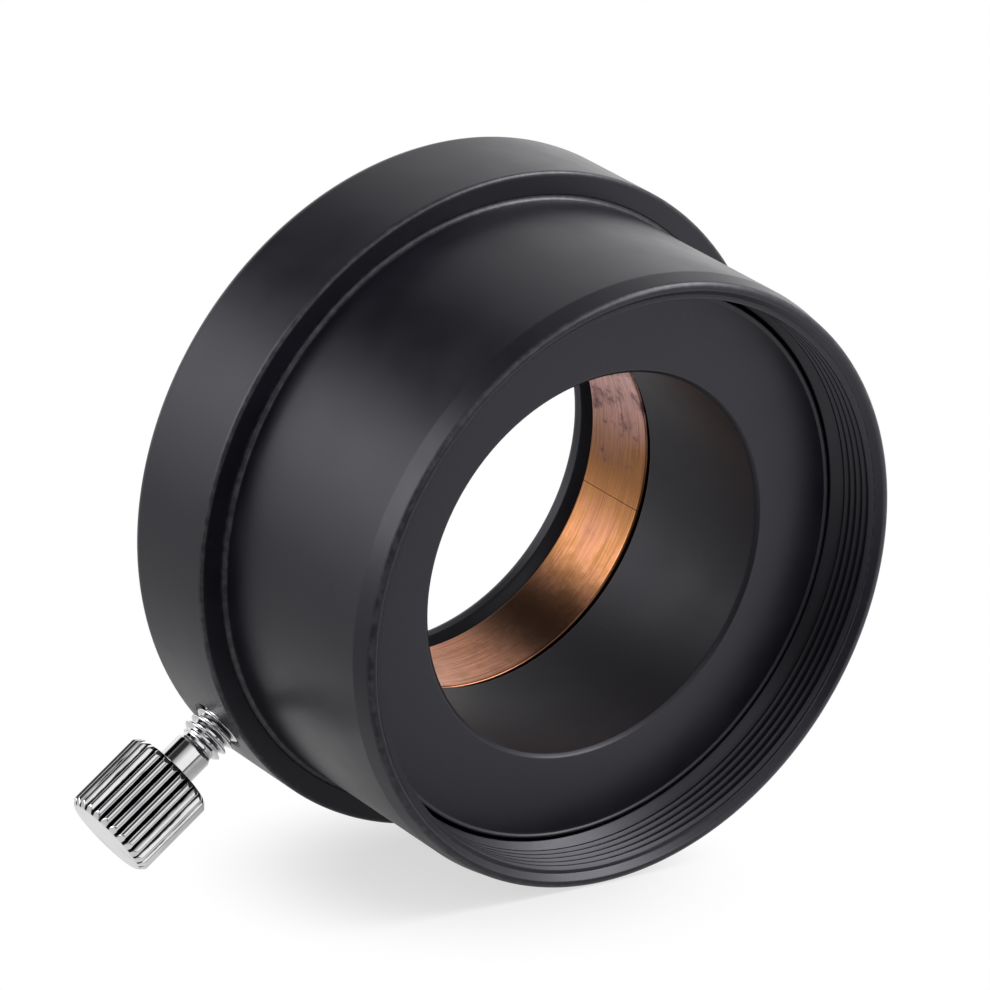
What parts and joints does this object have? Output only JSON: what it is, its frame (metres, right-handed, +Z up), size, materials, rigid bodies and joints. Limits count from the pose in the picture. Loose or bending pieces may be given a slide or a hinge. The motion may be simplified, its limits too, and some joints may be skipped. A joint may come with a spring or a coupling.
{
  "type": "eyepiece adapter",
  "caption": "Telescope eyepiece adapter: black tube with a filter thread, wider collar with a smaller bore, and a thumb screw that presses a split brass ring onto the eyepiece.",
  "frame": {"origin": "middle of the bounding box, on the table that the adapter lies on", "axes": "+Z up from the table; -Y the way the nose points, with the optical axis dipping 7.45 degrees towards the nose; +X to the side away from the thumb screw"},
  "size_m": [0.0612, 0.0362, 0.0561],
  "materials": {
    "holder_black": "satin black anodised, turned",
    "barrel_black": "satin black anodised, turned",
    "ring_brass": "bare brass, brushed around, with some patina",
    "stud_chrome": "bright plated",
    "head_chrome": "bright plated, straight flutes"
  },
  "bodies": {
    "adapter": {"eyepiece_holder": "holder_black", "nose_barrel": "barrel_black"},
    "clamp_ring": {"compression_ring": "ring_brass"},
    "screw_stud": {"thumb_screw_stud": "stud_chrome"},
    "screw_head": {"thumb_screw_head": "head_chrome"}
  },
  "joints": [
    {"name": "thumb_screw_advance", "type": "slide", "parent": "adapter", "child": "screw_stud", "axis": [0.7756, -0.0818, 0.6259], "range_m": [-0.0021, 0.0021]},
    {"name": "thumb_screw_turn", "type": "hinge", "parent": "screw_stud", "child": "screw_head", "pos_m": [0.00287, 0.00848, 0.02799], "axis": [0.7756, -0.0818, 0.6259], "range_deg": [-1080, 1080]},
    {"name": "ring_squeeze", "type": "slide", "parent": "adapter", "child": "clamp_ring", "axis": [0.7756, -0.0818, 0.6259], "range_m": [0, 0.0004], "stiffness_N_per_m": 200}
  ],
  "couplings": [
    {"joint": "thumb_screw_turn", "follows": "thumb_screw_advance", "rad_per_m": 8976}
  ]
}
